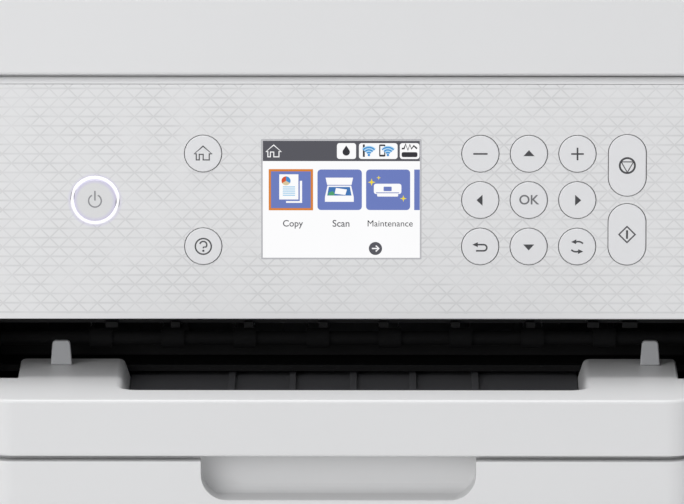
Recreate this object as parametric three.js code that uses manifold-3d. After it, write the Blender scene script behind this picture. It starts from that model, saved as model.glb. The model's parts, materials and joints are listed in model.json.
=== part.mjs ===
// Three-in-one inkjet printer, millimetres, +Z up, front at -Y, resting on Z = 0.
import * as THREE from 'three';
import { mergeVertices } from 'three/addons/utils/BufferGeometryUtils.js';
import Module from 'manifold-3d';

// Body envelope
const HALF_W = 187.5;
const FRONT_Y = -132;
const BACK_Y = 168;
const CORNER_R = 12;
const WALL = 3;
const FOOT_H = 2.7;
const FLOOR_Z0 = 3;
const FLOOR_Z1 = 6;
const GAP = 0.3;

// Heights of the stacked housings
const PANEL_Z0 = 59.24;
const PANEL_Z1 = 134.59;
const SCAN_Z0 = 135.84;
const SCAN_Z1 = 159.4;
const LID_Z0 = 160.4;
const LID_Z1 = 170;
const LID_BACK_Y = 160;
const GROOVE_DEPTH = 3.4;

// Control panel
const PANEL_HALF_W = 176;
const PANEL_BACK_Y = -118;
const PANEL_PIVOT = [-129.5, 132.1];
const PANEL_BEVEL = 2;
const FILM_Z0 = 60.82;
const FILM_Z1 = 132.72;
const FILM_HALF_W = 174.4;
const FILM_T = 1;
const KEY_R = 5.68;
const KEY_GAP = 0.25;
const KEY_PROUD = 0.25;
const KEY_LENGTH = 5;
const KEY_ROUNDNESS = 12;
const KEY_COLS = [27.85, 42.82, 57.79];
const KEY_ROWS = [111.11, 96.62, 82.07];
const MENU_X = -57.67;
const POWER = [-91.08, 96.43];
const POWER_R = 6.5;
const RING_R0 = 6.75;
const RING_R1 = 7.45;
const PILL_X = 73.17;
const PILL_W = 11.5;
const PILL_H = 19.05;
const STOP_Z = 107.5;
const START_Z = 85.9;
const LCD = [-39.5, 9.42, 78.28, 115.37];

// Output tray and cassette
const TRAY_FRONT_Y = -168;
const TRAY_X0 = -125.7;
const TRAY_X1 = 95.1;
const TRAY_R = 10.5;
const TRAY_Z0 = 22.94;
const TRAY_Z1 = 40.65;
const TRAY_WIDE_BACK_Y = -131.3;
const WING_BACK_Y = -99.7;
const WING_X0 = -115.2;
const WING_X1 = 89.3;
const NOTCH_X0 = -84.7;
const NOTCH_X1 = 62.3;
const NOTCH_Y0 = -152;
const NOTCH_R = 6.5;
const NOTCH_EDGE = 2.2;
const NOTCH_DRAFT_DEG = 18;
const TRAY_FLOOR_Z = 34.65;
const TRAY_WALL = 2.2;
const TRAY_EDGE = 1.1;
const SLAB_Z0 = 31.8;
const RIB_H = 0.9;
const SLAB_BACK_Y = 40;
const TAB_Y = -111.5;
const TAB_TOP_Z = 48.5;
const CASSETTE_Z0 = 3.3;
const CASSETTE_Z1 = 21.6;
const TUB_X0 = -124.3;
const TUB_X1 = 93.7;
const TUB_Y0 = -149;
const TUB_Y1 = 150;
const RECESS_X0 = -57.99;
const RECESS_X1 = 26.45;
const RECESS_Z0 = 9.31;
const RECESS_R = 8;
const RECESS_DEPTH = 10.5;
const RECESS_FILLET = 3;

// Paper path
const BAY_X0 = -127.8;
const BAY_X1 = 97.2;
const EJECT = [-96, 46.5];
const FEED = [24, 47.5];
const SHELF_Z0 = 36.5;
const SHELF_Z1 = 38.5;
const SHELF_FRONT_Y = -99;

// Positions are rounded to this step, so that faces meant to be level with each other are exactly level.
const SNAP = 1e-4;

const wasm = await Module();
wasm.setup();
const root = new THREE.Group();
root.name = 'inkjet_printer';

function toSolid(geometry) {
  const bare = geometry.clone();
  bare.deleteAttribute('normal');
  bare.deleteAttribute('uv');
  const place = bare.attributes.position.array;
  for (let i = 0; i < place.length; i += 1) {
    place[i] = Math.round(place[i] / SNAP) * SNAP;
  }
  const merged = mergeVertices(bare, 1e-5);
  const index = merged.index.array;
  const corners = [];
  for (let i = 0; i < index.length; i += 3) {
    const [a, b, c] = [index[i], index[i + 1], index[i + 2]];
    if (a !== b && b !== c && c !== a) {
      corners.push(a, b, c);
    }
  }
  const mesh = new wasm.Mesh({
    numProp: 3,
    vertProperties: new Float32Array(merged.attributes.position.array),
    triVerts: new Uint32Array(corners),
  });
  return new wasm.Manifold(mesh);
}

function toGeometry(solid) {
  const mesh = solid.getMesh();
  const geometry = new THREE.BufferGeometry();
  geometry.setAttribute('position', new THREE.BufferAttribute(new Float32Array(mesh.vertProperties), 3));
  geometry.setIndex(new THREE.BufferAttribute(new Uint32Array(mesh.triVerts), 1));
  return geometry;
}

// First shape, with everything in add joined to it, and everything in cut taken out of it.
function shaped(first, add, cut) {
  let solid = toSolid(first);
  for (const piece of add) {
    solid = solid.add(toSolid(piece));
  }
  for (const piece of cut) {
    solid = solid.subtract(toSolid(piece));
  }
  return toGeometry(solid);
}

function place(name, geometry, color, roughness = 0.5, metalness = 0) {
  geometry.computeVertexNormals();
  const mesh = new THREE.Mesh(geometry, new THREE.MeshStandardMaterial({ color, roughness, metalness }));
  mesh.name = name;
  root.add(mesh);
}

function box(x0, x1, y0, y1, z0, z1) {
  const g = new THREE.BoxGeometry(x1 - x0, y1 - y0, z1 - z0);
  g.translate((x0 + x1) / 2, (y0 + y1) / 2, (z0 + z1) / 2);
  return g;
}

// Outline of a rectangle with its own radius at each corner: low-low, high-low, high-high, low-high.
function outline(a0, a1, b0, b1, radii) {
  const [r0, r1, r2, r3] = radii;
  const s = new THREE.Shape();
  const corner = (a, b, r, from) => {
    if (r > 0) {
      s.absarc(a, b, r, from, from + Math.PI / 2, false);
    } else {
      s.lineTo(a, b);
    }
  };
  s.moveTo(a0 + r0, b0);
  corner(a1 - r1, b0 + r1, r1, -Math.PI / 2);
  corner(a1 - r2, b1 - r2, r2, 0);
  corner(a0 + r3, b1 - r3, r3, Math.PI / 2);
  corner(a0 + r0, b0 + r0, r0, Math.PI);
  return s;
}

function disc(a, b, r) {
  const s = new THREE.Shape();
  s.absarc(a, b, r, 0, 2 * Math.PI, false);
  return s;
}

// Extrusion from low to high along Z, with the given edge rounding at both ends.
function alongZ(shape, z0, z1, segments = 4, edge = 0, edgeSegments = 2) {
  const g = new THREE.ExtrudeGeometry(shape, {
    depth: z1 - z0 - 2 * edge,
    curveSegments: segments,
    bevelEnabled: edge > 0,
    bevelThickness: edge,
    bevelSize: edge,
    bevelOffset: -edge,
    bevelSegments: edgeSegments,
  });
  g.translate(0, 0, z0 + edge);
  return g;
}

// A shape in X and Z, extruded along Y.
function alongY(shape, y0, y1, segments = 4, edge = 0, edgeSegments = 2) {
  const g = alongZ(shape, 0, y1 - y0, segments, edge, edgeSegments);
  g.rotateX(Math.PI / 2);
  g.translate(0, y1, 0);
  return g;
}

// A shape in Y and Z, extruded along X.
function alongX(shape, x0, x1, segments = 4, edge = 0, edgeSegments = 2) {
  const g = alongZ(shape, 0, x1 - x0, segments, edge, edgeSegments);
  const turn = new THREE.Matrix4().makeBasis(
    new THREE.Vector3(0, 1, 0),
    new THREE.Vector3(0, 0, 1),
    new THREE.Vector3(1, 0, 0),
  );
  g.applyMatrix4(turn);
  g.translate(x0, 0, 0);
  return g;
}

function polygon(points) {
  const s = new THREE.Shape();
  s.moveTo(points[0][0], points[0][1]);
  for (const [a, b] of points.slice(1)) {
    s.lineTo(a, b);
  }
  return s;
}

function rodX(x0, x1, y, z, r, segments = 8) {
  return alongX(disc(y, z, r), x0, x1, segments);
}

function rodY(x, z, r, y0, y1) {
  return alongY(disc(x, z, r), y0, y1, 5);
}

const WHITE = 0xe6e6e8;
const LIGHT = 0xdcdcde;
const DARK = 0x1c1c1e;
const STEEL = 0xa9abad;

// Lower housing: floor, side walls and back, with the front left open between two cheeks.
{
  const all = [CORNER_R, CORNER_R, CORNER_R, CORNER_R];
  const outer = alongZ(outline(-HALF_W, HALF_W, FRONT_Y, BACK_Y, all), FLOOR_Z0, PANEL_Z1, 4);
  const inR = CORNER_R - WALL;
  const inner = alongZ(
    outline(-HALF_W + WALL, HALF_W - WALL, FRONT_Y + WALL, BACK_Y - WALL, [inR, inR, inR, inR]),
    FLOOR_Z1, PANEL_Z1 + 1, 4,
  );
  const cuts = [
    inner,
    box(-PANEL_HALF_W - GAP, PANEL_HALF_W + GAP, FRONT_Y - 1, FRONT_Y + 8, FLOOR_Z1, PANEL_Z1 + 1),
    box(-PANEL_HALF_W - GAP, PANEL_HALF_W + GAP, FRONT_Y - 1, FRONT_Y + 2, FLOOR_Z0 - 1, FLOOR_Z1 + 1),
    box(-110, 80, BACK_Y - 5, BACK_Y + 1, 26, 104),
    box(134.7, 165.3, BACK_Y - 5, BACK_Y + 1, 20.7, 42.3),
    box(-150.3, -135.7, BACK_Y - 5, BACK_Y + 1, 24.7, 37.3),
  ];
  for (let i = 0; i < 7; i += 1) {
    cuts.push(box(HALF_W - 6, HALF_W + 1, 70 + i * 9, 73.5 + i * 9, 40, 84));
  }
  let shell = toSolid(outer);
  for (const cut of cuts) {
    shell = shell.subtract(toSolid(cut));
  }
  const adds = [];
  for (const side of [-1, 1]) {
    const a = side * (PANEL_HALF_W + GAP);
    const b = side * (PANEL_HALF_W + GAP + 2.5);
    adds.push(box(Math.min(a, b), Math.max(a, b), FRONT_Y + 1, PANEL_BACK_Y, FLOOR_Z1 - 0.5, PANEL_Z1));
  }
  for (const piece of adds) {
    shell = shell.add(toSolid(piece));
  }
  shell = shell.subtract(toSolid(rodX(-PANEL_HALF_W - 4, PANEL_HALF_W + 4, ...PANEL_PIVOT, 1.6, 4)));
  // Shallow hand grips low on both sides.
  for (const side of [-1, 1]) {
    const x = side * (HALF_W + 8.2);
    const grip = alongX(outline(-40, 60, 18, 34, [7, 7, 7, 7]), x - 10, x + 10, 4);
    shell = shell.subtract(toSolid(grip));
  }
  place('lower_housing', toGeometry(shell), WHITE);
}

// Rubber feet
const FEET = [
  ['front_left', -150, -105],
  ['front_right', 150, -105],
  ['rear_left', -150, 142],
  ['rear_right', 150, 142],
];
for (const [where, x, y] of FEET) {
  place(`foot_${where}`, alongZ(disc(x, y, 9), 0, FOOT_H, 8), 0x2a2a2c, 0.9);
}

// Lower front covers, left and right of the paper opening
function frontCover(x0, x1) {
  const face = outline(x0, x1, FLOOR_Z1 + GAP, PANEL_Z0 - 0.9, [1, 1, 1, 1]);
  const plate = alongY(face, FRONT_Y, FRONT_Y + 3, 2, 0.5, 1);
  const ribs = [
    box(x0 + 4, x0 + 6, FRONT_Y + 2.5, FRONT_Y + 12, FLOOR_Z1 + 3, PANEL_Z0 - 4),
    box(x1 - 6, x1 - 4, FRONT_Y + 2.5, FRONT_Y + 12, FLOOR_Z1 + 3, PANEL_Z0 - 4),
  ];
  return shaped(plate, ribs, []);
}
place('front_cover_left', frontCover(-PANEL_HALF_W, BAY_X0 - 0.2), WHITE);
place('front_cover_right', frontCover(BAY_X1 + 0.2, PANEL_HALF_W), WHITE);

// Inner frame: the two bay walls, the shelf under the print zone and the bridge over the opening
{
  const left = box(BAY_X0 - 3, BAY_X0, FRONT_Y + 4, 150, FLOOR_Z1 + GAP, 53);
  const adds = [
    box(BAY_X1, BAY_X1 + 3, FRONT_Y + 4, 150, FLOOR_Z1 + GAP, 53),
    box(BAY_X0 - 1, BAY_X1 + 1, SHELF_FRONT_Y, 150, SHELF_Z0, SHELF_Z1),
    box(BAY_X0 - 1, BAY_X1 + 1, 147, 150, SHELF_Z0, 53),
    box(BAY_X0 - 1, BAY_X0 + 4, FRONT_Y + 6, 38, 41.3, 43),
    box(BAY_X1 - 2, BAY_X1 + 1, FRONT_Y + 6, 38, 41.3, 43),
    box(BAY_X0 - 3, BAY_X0 + 1, -112, -98, 52, 58),
    box(BAY_X1 - 1, BAY_X1 + 3, -112, -98, 52, 58),
  ];
  const cuts = [
    rodX(BAY_X0 - 5, BAY_X1 + 5, ...EJECT, 2.6),
    rodX(BAY_X0 - 5, BAY_X1 + 5, ...FEED, 4.4),
  ];
  place('inner_frame', shaped(left, adds, cuts), DARK, 0.6);
}

// Platen: ribbed support under the paper in the print zone
{
  const adds = [];
  for (let i = 0; i < 14; i += 1) {
    const x = -110 + i * 14.9;
    adds.push(box(x, x + 2, -84, 14, 43.5, 46));
  }
  place('platen', shaped(box(-122, 92, -85, 15, 39, 44), adds, []), DARK, 0.55);
}

// Shafts with rubber rolls
function rollerShaft(x0, x1, [y, z], shaftR, rollR, places, rollW) {
  const rolls = places.map((x) => rodX(x - rollW / 2, x + rollW / 2, y, z, rollR, 6));
  return shaped(rodX(x0, x1, y, z, shaftR, 6), rolls, []);
}
const EJECT_PLACES = [-90.4, -67.9, -45.4, -22.5, 0, 22.1, 44.6, 67.1];
place('eject_roller', rollerShaft(-136, 106, EJECT, 2.2, 3.2, EJECT_PLACES, 7), 0x3a3a3c, 0.7);
place('feed_roller', rollerShaft(-136, 106, FEED, 4, 5.6, [-95, -60, -15, 30, 65], 22), 0x6a6c6e, 0.6);

// Star wheel bar over the eject roller, with its short guide fingers
{
  const fingers = [[-88.5, -84.7], [-68.2, -65.4], [-45.4, -42.6], [-22.1, -19.5], [-3.4, -0.6], [19, 21.8],
    [42.4, 45.2], [61.4, 65.1], [72.3, 77]];
  const bar = alongX(polygon([[-110, 54], [-97, 52], [-95, 56], [-95, 60], [-110, 60]]), -126.2, 95.6);
  const adds = fingers.map(([x0, x1]) => box(x0, x1, -112.4, -101, 52.9, 54.6));
  place('star_wheel_bar', shaped(bar, adds, []), DARK, 0.5);
}

// Carriage rail: an upright steel web with a folded top flange
{
  const web = box(-168, 176, 41, 42.5, 53.4, 98);
  const adds = [
    box(-168, 176, 41, 55, 96.5, 98),
    box(BAY_X0 + 0.4, BAY_X1 - 0.4, 41, 42.5, SHELF_Z1 + GAP, 54),
    box(BAY_X0 + 0.4, BAY_X1 - 0.4, 41, 52, SHELF_Z1 + GAP, 40.3),
  ];
  place('carriage_rail', shaped(web, adds, []), STEEL, 0.35, 1);
}

// Toothed drive belt with its two pulleys' loop, in front of the rail
{
  const loop = outline(-160, 170, 31.2, 40, [4.4, 4.4, 4.4, 4.4]);
  loop.holes.push(outline(-159, 169, 32.2, 39, [3.4, 3.4, 3.4, 3.4]));
  place('carriage_belt', alongZ(loop, 72, 78, 4), 0x202022, 0.8);
}

// Carriage motor, upright behind the left end of the rail, with its pulley shaft through the rail
{
  const can = alongZ(disc(-150, 62, 13), 60, 92, 10);
  const adds = [alongZ(disc(-150, 62, 4), 58, 95, 6), box(-164, -136, 43.2, 64, 92, 94.5)];
  place('carriage_motor', shaped(can, adds, []), 0x8d8f92, 0.4, 1);
}

// Maintenance station under the parked carriage: a cap, a wiper and a tray
{
  const base = box(108, 172, -50, 28, FLOOR_Z1 + GAP, 50);
  const adds = [box(116, 164, -44, -6, 49, 53), box(112, 166, 6, 8, 49, 54.5)];
  const cuts = [box(119, 161, -41, -9, 51, 54), box(112, 168, -46, 24, FLOOR_Z1 - 1, 46)];
  place('maintenance_station', shaped(base, adds, cuts), 0x4a4a4d, 0.6);
}

// Main board, upright inside the left wall
{
  const chips = [
    box(-179, -176.5, 40, 68, 50, 78),
    box(-179, -177, 80, 98, 30, 42),
    box(-179, -172, 20, 48, 20, 27),
    box(-179, -171, 104, 112, 60, 94),
    box(-179, -174, 60, 76, 90, 100),
  ];
  place('main_board', shaped(box(-180.2, -178.6, 0, 130, 14, 110), chips, []), 0x1f6b3c, 0.5);
}

// Power unit with its two-pin inlet, and the data socket, both in the back wall
{
  const shell = box(118, 178, 60, 145, FLOOR_Z1 + GAP, 46);
  place('power_unit', shaped(shell, [box(124, 172, 66, 139, 45, 48)], []), 0x27272a, 0.7);
  const inlet = box(135, 165, 146, BACK_Y - 0.4, 21, 42);
  const socket = outline(138, 162, 26, 37, [5.4, 5.4, 5.4, 5.4]);
  const pins = [rodY(145.5, 31.5, 1.2, 151, 164), rodY(154.5, 31.5, 1.2, 151, 164)];
  const hollow = shaped(inlet, [], [alongY(socket, 152, BACK_Y + 1, 4)]);
  place('power_inlet', shaped(hollow, pins, []), 0x1a1a1c, 0.6);
  const usb = box(-150, -136, 150, BACK_Y - 0.4, 25, 37);
  const mouth = box(-147.8, -138.2, 154, BACK_Y + 1, 26.8, 35.2);
  const tongue = box(-145.5, -140.5, 153, BACK_Y - 3, 29.4, 32.6);
  const can = shaped(usb, [], [mouth]);
  place('data_socket', shaped(can, [tongue], []), STEEL, 0.3, 1);
}

// Rear access cover, with the curved paper guide on its inner side
{
  const plate = alongY(outline(-109.6, 79.6, 26.4, 103.6, [3, 3, 3, 3]), BACK_Y - WALL, BACK_Y, 2, 0.6, 1);
  const adds = [];
  for (let i = 0; i < 9; i += 1) {
    const x = -100 + i * 21.2;
    const guide = [
      [BACK_Y - 2, 32], [BACK_Y - 14, 34], [BACK_Y - 9, 52],
      [BACK_Y - 9, 78], [BACK_Y - 14, 96], [BACK_Y - 2, 98],
    ];
    adds.push(alongX(polygon(guide), x, x + 2));
  }
  const cuts = [
    alongY(outline(-25, -5, 88, 98, [4, 4, 4, 4]), BACK_Y - 1.6, BACK_Y + 1, 2),
  ];
  place('rear_access_cover', shaped(plate, adds, cuts), WHITE);
}

// Print carriage: an open box with four pockets and a hook over the rail's flange
const CARRIAGE_X0 = 112;
const CARRIAGE_X1 = 168;
const POCKET_W = 11.6;
{
  const block = box(CARRIAGE_X0, CARRIAGE_X1, -44, 30, 57, 92);
  const adds = [
    box(CARRIAGE_X0 + 8, CARRIAGE_X1 - 8, 24, 59, 98.5, 101),
    box(CARRIAGE_X0 + 8, CARRIAGE_X1 - 8, 24, 30, 90, 101),
    box(CARRIAGE_X0 + 8, CARRIAGE_X1 - 8, 56, 59, 90, 101),
    box(CARRIAGE_X0 + 4, CARRIAGE_X1 - 4, -38, -4, 55.3, 58),
  ];
  const cuts = [];
  for (let i = 0; i < 4; i += 1) {
    const x = CARRIAGE_X0 + 2.4 + i * 13.2;
    cuts.push(box(x, x + POCKET_W, -40, 20, 62, 93));
  }
  place('print_carriage', shaped(block, adds, cuts), DARK, 0.5);
}
const INKS = [['black', 0x1b1b1d], ['cyan', 0x1c86b8], ['magenta', 0xb3226f], ['yellow', 0xd9b512]];
INKS.forEach(([ink, color], i) => {
  const x = CARRIAGE_X0 + 2.4 + i * 13.2 + GAP;
  const w = POCKET_W - 2 * GAP;
  const adds = [box(x + 1, x + w - 1, -39.4, -30, 99, 104)];
  place(`ink_${ink}`, shaped(box(x, x + w, -39.7, 19.7, 62.3, 100), adds, []), color, 0.4);
});

// Paper cassette: tub, front and the three paper guides
{
  const tub = alongZ(outline(TUB_X0, TUB_X1, TUB_Y0, TUB_Y1, [2, 2, 4, 4]), 6.4, 21.3, 2);
  const inner = alongZ(outline(TUB_X0 + 2, TUB_X1 - 2, TUB_Y0 + 2, TUB_Y1 - 2, [1, 1, 2, 2]), 8.4, 22, 2);
  const cuts = [
    inner,
    box(-60, 30, 138, 152, 10, 22),
    box(-18, -12, 60, 140, 5, 9),
    box(-98, -40, -28, -22, 5, 9),
    box(10, 68, -28, -22, 5, 9),
  ];
  place('cassette_tub', shaped(tub, [], cuts), 0x2b2b2e, 0.55);
}
{
  const plan = outline(TRAY_X0, TRAY_X1, TRAY_FRONT_Y, TUB_Y0 - GAP, [TRAY_R, TRAY_R, 1.5, 1.5]);
  const front = alongZ(plan, CASSETTE_Z0, CASSETTE_Z1, 5, 0.8, 2);
  const lip = outline(TRAY_X0 + 4, TRAY_X1 - 4, TRAY_FRONT_Y + 5, TUB_Y0 - 1, [6, 6, 0.5, 0.5]);
  const mouth = alongY(
    outline(RECESS_X0, RECESS_X1, RECESS_Z0, CASSETTE_Z1 + 12, [RECESS_R, RECESS_R, 0, 0]),
    TRAY_FRONT_Y - 1, TRAY_FRONT_Y + RECESS_DEPTH + 1, 5,
  );
  const back = TRAY_FRONT_Y + RECESS_DEPTH;
  const scoop = new THREE.Shape();
  scoop.moveTo(TRAY_FRONT_Y - 2, CASSETTE_Z1 + 10);
  scoop.lineTo(TRAY_FRONT_Y - 2, RECESS_Z0 - 1);
  scoop.lineTo(TRAY_FRONT_Y + 0.5, RECESS_Z0);
  for (let i = 0; i <= 4; i += 1) {
    const t = (i / 4) * (Math.PI / 2);
    scoop.lineTo(
      back - RECESS_FILLET * (1 - Math.sin(t)), RECESS_Z0 + 0.4 + RECESS_FILLET * (1 - Math.cos(t)),
    );
  }
  scoop.lineTo(back, CASSETTE_Z1 + 10);
  const hand = toSolid(mouth).intersect(toSolid(alongX(scoop, RECESS_X0 - 1, RECESS_X1 + 1)));
  let body = toSolid(front).add(toSolid(alongZ(lip, CASSETTE_Z1 - 1.5, CASSETTE_Z1 + 1, 4))).subtract(hand);
  body = body.subtract(toSolid(box(TRAY_X0 + 4, TRAY_X1 - 4, -155.5, -140, 5.5, 19.4)));
  place('cassette_front', toGeometry(body), LIGHT);
}
function sideGuide(x, out) {
  const a = Math.min(x, x + out * 2);
  const b = Math.max(x, x + out * 2);
  const foot = [Math.min(x, x + out * 22), Math.max(x, x + out * 22)];
  return shaped(box(a, b, -85, 45, 8.8, 20.6), [box(foot[0], foot[1], -36, -14, 8.8, 10.2)], []);
}
place('side_guide_left', sideGuide(-121.6, 1), 0x55565a);
place('side_guide_right', sideGuide(91, -1), 0x55565a);
const END_STOP = box(-40, 10, 144.5, 146.5, 8.8, 20.6);
place('end_guide', shaped(END_STOP, [box(-26, -4, 112, 145, 8.8, 10.2)], []), 0x55565a);

// Output tray: wide front, two wings and a notch with sloping sides between them, hollow from below
{
  const plan = outline(TRAY_X0, TRAY_X1, TRAY_FRONT_Y, TRAY_WIDE_BACK_Y, [TRAY_R, TRAY_R, 2, 2]);
  const wings = outline(WING_X0, WING_X1, NOTCH_Y0 - 4, WING_BACK_Y, [0, 0, 2.2, 2.2]);
  let tray = toSolid(alongZ(plan, TRAY_Z0, TRAY_Z1, 5, TRAY_EDGE, 3));
  tray = tray.add(toSolid(alongZ(wings, TRAY_Z0, TRAY_Z1, 3, 0.5, 1)));

  // The notch has a rounded top edge, then drafted walls down to the slab, and is straight below that.
  const draft = (NOTCH_DRAFT_DEG * Math.PI) / 180;
  const edgeLevels = 4;
  const levels = [[TRAY_Z1 + 1, 0]];
  for (let i = 0; i <= edgeLevels; i += 1) {
    const t = (i / edgeLevels) * (Math.PI / 2 - draft);
    levels.unshift([TRAY_Z1 - NOTCH_EDGE * (1 - Math.cos(t)), NOTCH_EDGE * Math.sin(t)]);
  }
  const [edgeZ, edgeInset] = levels[0];
  const inset = edgeInset + (edgeZ - TRAY_FLOOR_Z) * Math.tan(draft);
  levels.unshift([TRAY_Z0 - 2, inset], [TRAY_FLOOR_Z, inset]);

  const middle = (NOTCH_X0 + NOTCH_X1) / 2;
  const half = (NOTCH_X1 - NOTCH_X0) / 2;
  const reach = WING_BACK_Y + 5 - NOTCH_Y0;
  const opening = outline(-half, half, -reach, 0, [NOTCH_R, NOTCH_R, 0, 0]);
  const steps = levels.length - 1;
  const layers = { depth: steps, steps, curveSegments: 5, bevelEnabled: false };
  const notch = new THREE.ExtrudeGeometry(opening, layers);
  const p = notch.attributes.position;
  for (let i = 0; i < p.count; i += 1) {
    const [z, narrower] = levels[Math.round(p.getZ(i))];
    const x = middle + p.getX(i) * (1 - narrower / half);
    const y = WING_BACK_Y + 5 + p.getY(i) * (1 - narrower / reach);
    p.setXYZ(i, x, y, z);
  }
  tray = tray.subtract(toSolid(notch));

  const w = TRAY_WALL;
  const frontHollow = outline(TRAY_X0 + w, TRAY_X1 - w, TRAY_FRONT_Y + w, NOTCH_Y0 - w, [8.5, 8.5, 0.5, 0.5]);
  tray = tray.subtract(toSolid(alongZ(frontHollow, TRAY_Z0 - 1, TRAY_Z1 - w, 4)));
  const leftX = [WING_X0 + w, NOTCH_X0 - w];
  const rightX = [NOTCH_X1 + w, WING_X1 - w];
  for (const [x0, x1] of [leftX, rightX]) {
    tray = tray.subtract(toSolid(box(x0, x1, NOTCH_Y0, WING_BACK_Y - w, TRAY_Z0 - 1, TRAY_Z1 - w)));
  }
  place('output_tray', toGeometry(tray), LIGHT);

  // Dark ribbed slab that carries the paper between the wings and runs back under the print zone.
  const clear = inset + GAP;
  const plate = outline(
    NOTCH_X0 + clear, NOTCH_X1 - clear, NOTCH_Y0 + clear, SLAB_BACK_Y, [NOTCH_R, NOTCH_R, 0, 0],
  );
  const ribs = [-49.3, -30.3, -11.4, 7.2, 26.6].map((x) => (
    box(x - 1, x + 1, NOTCH_Y0 + 9, SLAB_BACK_Y - 2, TRAY_FLOOR_Z - 0.5, TRAY_FLOOR_Z + RIB_H)
  ));
  place('tray_slab', shaped(alongZ(plate, SLAB_Z0, TRAY_FLOOR_Z, 4), ribs, []), 0x202022, 0.5);
}

// Two small upright tabs on the wings
function trayTab(x0, x1) {
  const top = TAB_TOP_Z;
  const s = polygon([[x0, TRAY_Z1 + 0.1], [x1, TRAY_Z1 + 0.1], [x1 - 0.55, top - 1], [x1 - 0.8, top - 0.4],
    [x1 - 1.4, top], [x0 + 1.4, top], [x0 + 0.8, top - 0.4], [x0 + 0.55, top - 1]]);
  return alongY(s, TAB_Y, TAB_Y + 2.2, 1, 0.3, 1);
}
place('tray_tab_left', trayTab(-105.73, -99.06), 0x98999b);
place('tray_tab_right', trayTab(77.9, 84.16), 0x98999b);

// Control panel housing: an open-backed shell that carries film, screen and keys
const ROUND_KEYS = [
  ['home', MENU_X, KEY_ROWS[0]],
  ['help', MENU_X, KEY_ROWS[2]],
  ['minus', KEY_COLS[0], KEY_ROWS[0]],
  ['up', KEY_COLS[1], KEY_ROWS[0]],
  ['plus', KEY_COLS[2], KEY_ROWS[0]],
  ['left', KEY_COLS[0], KEY_ROWS[1]],
  ['ok', KEY_COLS[1], KEY_ROWS[1]],
  ['right', KEY_COLS[2], KEY_ROWS[1]],
  ['back', KEY_COLS[0], KEY_ROWS[2]],
  ['down', KEY_COLS[1], KEY_ROWS[2]],
  ['swap', KEY_COLS[2], KEY_ROWS[2]],
];
const PILL_KEYS = [['stop', STOP_Z], ['start', START_Z]];

function pill(x, z, grow) {
  const r = PILL_W / 2 + grow;
  const half = PILL_H / 2 + grow;
  return outline(x - r, x + r, z - half, z + half, [r, r, r, r]);
}

function keyHoles(shape) {
  for (const [, x, z] of ROUND_KEYS) {
    shape.holes.push(disc(x, z, KEY_R + KEY_GAP));
  }
  for (const [, z] of PILL_KEYS) {
    shape.holes.push(pill(PILL_X, z, KEY_GAP));
  }
  shape.holes.push(disc(...POWER, RING_R1 + KEY_GAP));
  shape.holes.push(outline(LCD[0] - GAP, LCD[1] + GAP, LCD[2] - GAP, LCD[3] + GAP, [0.3, 0.3, 0.3, 0.3]));
}

{
  const y0 = FRONT_Y;
  const y1 = PANEL_BACK_Y;
  const b = PANEL_BEVEL;
  const profile = polygon([
    [y0 + b, PANEL_Z1], [y0 + 0.7, PANEL_Z1 - 0.7], [y0, PANEL_Z1 - b], [y0, PANEL_Z0 + 0.25],
    [y0 + 0.25, PANEL_Z0], [y1, PANEL_Z0], [y1, PANEL_Z1],
  ]);
  let shell = toSolid(alongX(profile, -PANEL_HALF_W, PANEL_HALF_W));
  const seat = alongY(
    outline(-FILM_HALF_W - 0.2, FILM_HALF_W + 0.2, FILM_Z0 - 0.15, FILM_Z1 + 0.15, [1, 1, 1, 1]),
    y0 - 1, y0 + FILM_T + GAP, 2,
  );
  shell = shell.subtract(toSolid(seat));
  const hollow = box(
    -PANEL_HALF_W + 2, PANEL_HALF_W - 2, y0 + FILM_T + GAP + 2, y1 + 1, PANEL_Z0 + 2, PANEL_Z1 - 2,
  );
  shell = shell.subtract(toSolid(hollow));
  const holes = new THREE.Shape();
  keyHoles(holes);
  for (const hole of holes.holes) {
    shell = shell.subtract(toSolid(alongY(hole, y0 - 1, y0 + 6, KEY_ROUNDNESS)));
  }
  for (const side of [-1, 1]) {
    const a = side * (PANEL_HALF_W - 1);
    const e = side * (PANEL_HALF_W + 2.4);
    shell = shell.add(toSolid(rodX(Math.min(a, e), Math.max(a, e), ...PANEL_PIVOT, 1.2, 4)));
  }
  place('panel_housing', toGeometry(shell), WHITE);

  const film = outline(-FILM_HALF_W, FILM_HALF_W, FILM_Z0, FILM_Z1, [1, 1, 1, 1]);
  keyHoles(film);
  place('panel_film', alongY(film, y0, y0 + FILM_T, KEY_ROUNDNESS), 0xe2e2e4, 0.35);
}
const SCREEN = outline(LCD[0], LCD[1], LCD[2], LCD[3], [0.3, 0.3, 0.3, 0.3]);
place('lcd_screen', alongY(SCREEN, FRONT_Y + 0.1, FRONT_Y + 5, 2), 0xdfe3ea, 0.15);

function keyCap(shape) {
  const face = FRONT_Y - KEY_PROUD;
  return alongY(shape, face, face + KEY_LENGTH, KEY_ROUNDNESS, 0.2, 1);
}
for (const [name, x, z] of ROUND_KEYS) {
  place(`key_${name}`, keyCap(disc(x, z, KEY_R)), WHITE);
}
for (const [name, z] of PILL_KEYS) {
  place(`key_${name}`, keyCap(pill(PILL_X, z, 0)), WHITE);
}
place('key_power', keyCap(disc(...POWER, POWER_R)), WHITE);
{
  const ring = disc(...POWER, RING_R1);
  ring.holes.push(disc(...POWER, RING_R0));
  place('power_light_ring', alongY(ring, FRONT_Y - 0.1, FRONT_Y + 4, KEY_ROUNDNESS), 0xffffff, 0.3);
}

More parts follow.
